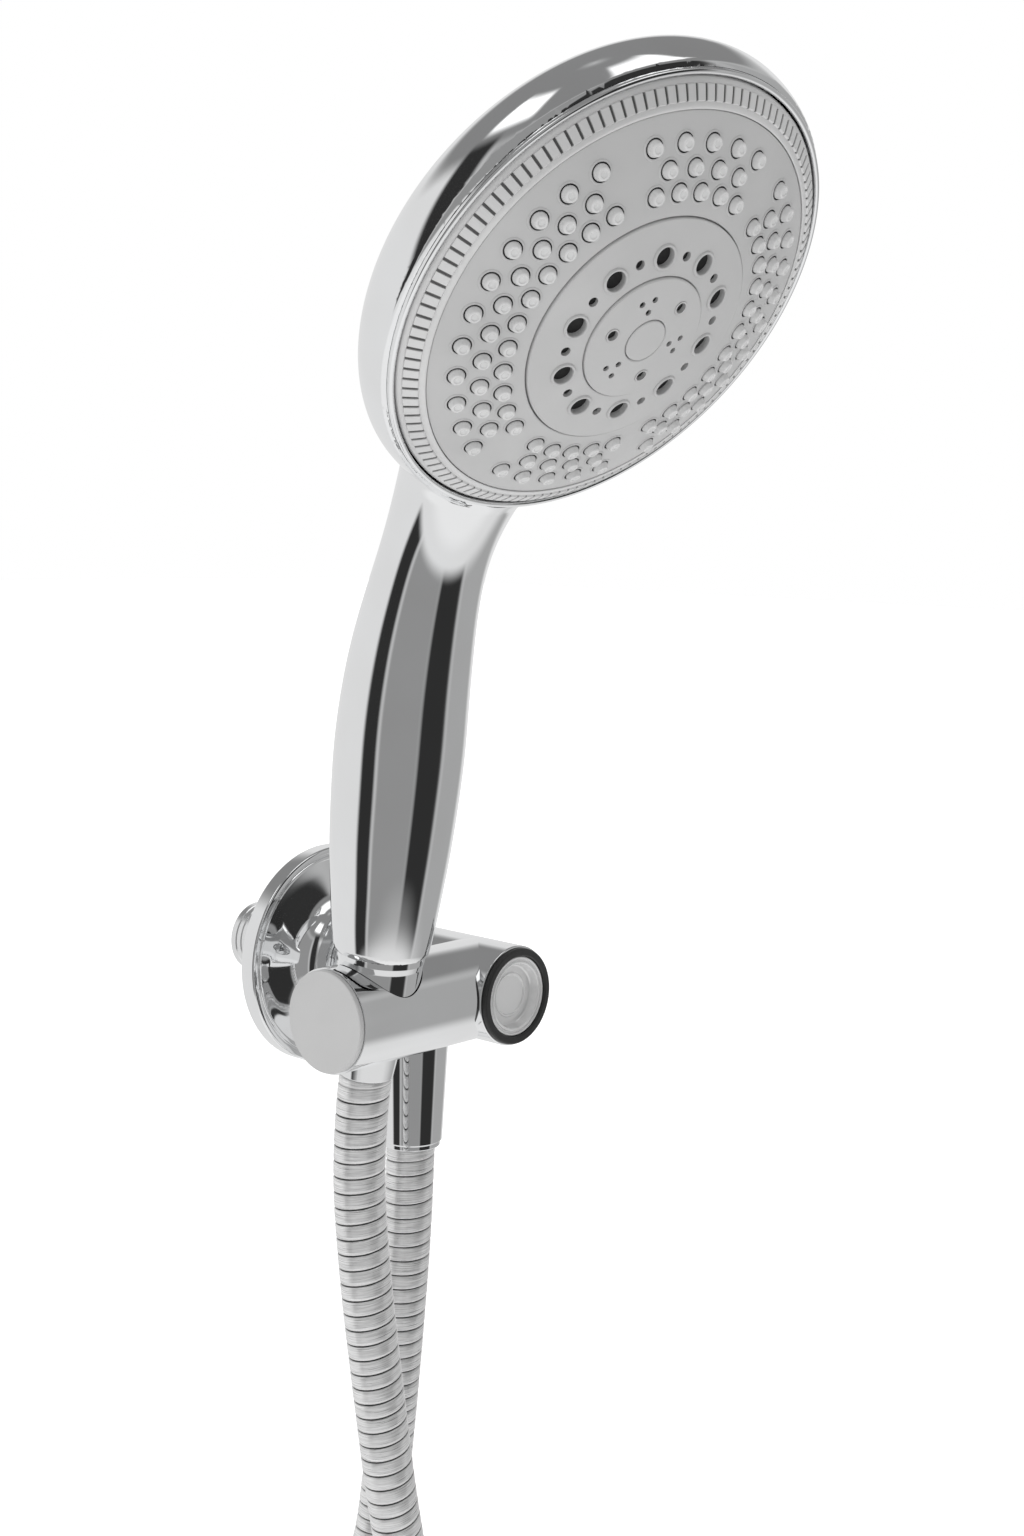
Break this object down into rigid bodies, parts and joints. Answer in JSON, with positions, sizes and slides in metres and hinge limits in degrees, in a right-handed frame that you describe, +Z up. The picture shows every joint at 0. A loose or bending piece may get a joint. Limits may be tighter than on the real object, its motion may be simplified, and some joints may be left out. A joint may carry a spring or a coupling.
{
  "type": "handheld shower head",
  "caption": "Chrome hand shower resting in a wall outlet with holder, with a turning spray face and a spiral metal hose from the outlet to its cone nut.",
  "frame": {"origin": "on the inlet pipe's axis, at the wall plane where the flange's back face rests", "axes": "+Y along the inlet pipe into the wall, -Y out into the room along the arm, +Z up, -X along the holder's cross cylinder"},
  "size_m": [0.1778, 0.2031, 0.6147],
  "materials": {
    "chrome": "polished",
    "ring_silver": "satin",
    "face_grey": "satin",
    "nozzle_rubber": "satin",
    "black_rubber": "matte",
    "plug_silver": "satin",
    "disc_grey": "satin",
    "inlet_metal": "satin",
    "hose_steel": "brushed",
    "spring_steel": "plain",
    "brass_fitting": "plain",
    "white_plastic": "plain"
  },
  "bodies": {
    "wall_bracket": {"wall_flange": "chrome", "flange_seal": "black_rubber", "inlet_nipple": "inlet_metal", "nipple_seal": "black_rubber", "bracket_body": "chrome", "arm_end_ring": "black_rubber", "arm_end_plug": "plug_silver", "plug_o_ring": "black_rubber", "holder_end_disc": "disc_grey", "check_valve_cage": "white_plastic", "check_valve_spring": "spring_steel", "outlet_nut": "chrome", "outlet_washer": "black_rubber", "hose_outlet_end": "brass_fitting", "hose_front_length": "hose_steel", "hose_rear_length": "hose_steel", "hose_coil": "hose_steel", "hose_tie": "black_rubber"},
    "check_valve": {"check_valve_poppet": "white_plastic"},
    "hose_end": {"hose_handset_end": "brass_fitting"},
    "handset": {"cone_nut": "chrome", "swivel_washer": "black_rubber", "inlet_spigot": "white_plastic", "spigot_o_ring": "black_rubber", "filter_screen": "spring_steel", "flow_restrictor": "white_plastic", "water_tube": "white_plastic", "handset_shell": "chrome", "head_bezel": "chrome", "distributor": "white_plastic", "port_seal": "black_rubber", "water_chamber": "white_plastic", "detent_spring": "spring_steel"},
    "detent": {"detent_pin": "brass_fitting"},
    "selector": {"selector_ring": "ring_silver", "face_plate": "face_grey", "nozzle_mat": "nozzle_rubber", "centre_insert": "face_grey", "cluster_insert": "face_grey", "centre_cap": "face_grey", "face_screw": "spring_steel", "turbine_sleeve": "white_plastic", "face_carrier": "white_plastic"},
    "turbine": {"massage_turbine": "white_plastic"}
  },
  "joints": [
    {"name": "handset_lift", "type": "slide", "parent": "wall_bracket", "child": "hose_end", "axis": [0, -0.1478, 0.989], "range_m": [0, 0.04]},
    {"name": "handset_swivel", "type": "hinge", "parent": "hose_end", "child": "handset", "pos_m": [-0.0397, -0.0613, 0], "axis": [0, -0.1478, 0.989], "range_deg": [-60, 60]},
    {"name": "selector_turn", "type": "hinge", "parent": "handset", "child": "selector", "pos_m": [-0.04378, -0.13974, 0.17412], "axis": [-0.0684, -0.7875, -0.6125], "continuous": true},
    {"name": "turbine_spin", "type": "hinge", "parent": "selector", "child": "turbine", "pos_m": [-0.04378, -0.13974, 0.17412], "axis": [-0.0684, -0.7875, -0.6125], "continuous": true},
    {"name": "detent_press", "type": "slide", "parent": "handset", "child": "detent", "axis": [0.0684, 0.7875, 0.6125], "range_m": [0, 0.0006], "stiffness_N_per_m": 400, "springref_m": -0.002, "deforming": ["detent_spring"]},
    {"name": "check_valve_open", "type": "slide", "parent": "wall_bracket", "child": "check_valve", "axis": [0, -1, 0], "range_m": [0, 0.0025], "stiffness_N_per_m": 60, "springref_m": -0.002, "deforming": ["check_valve_spring"]}
  ]
}
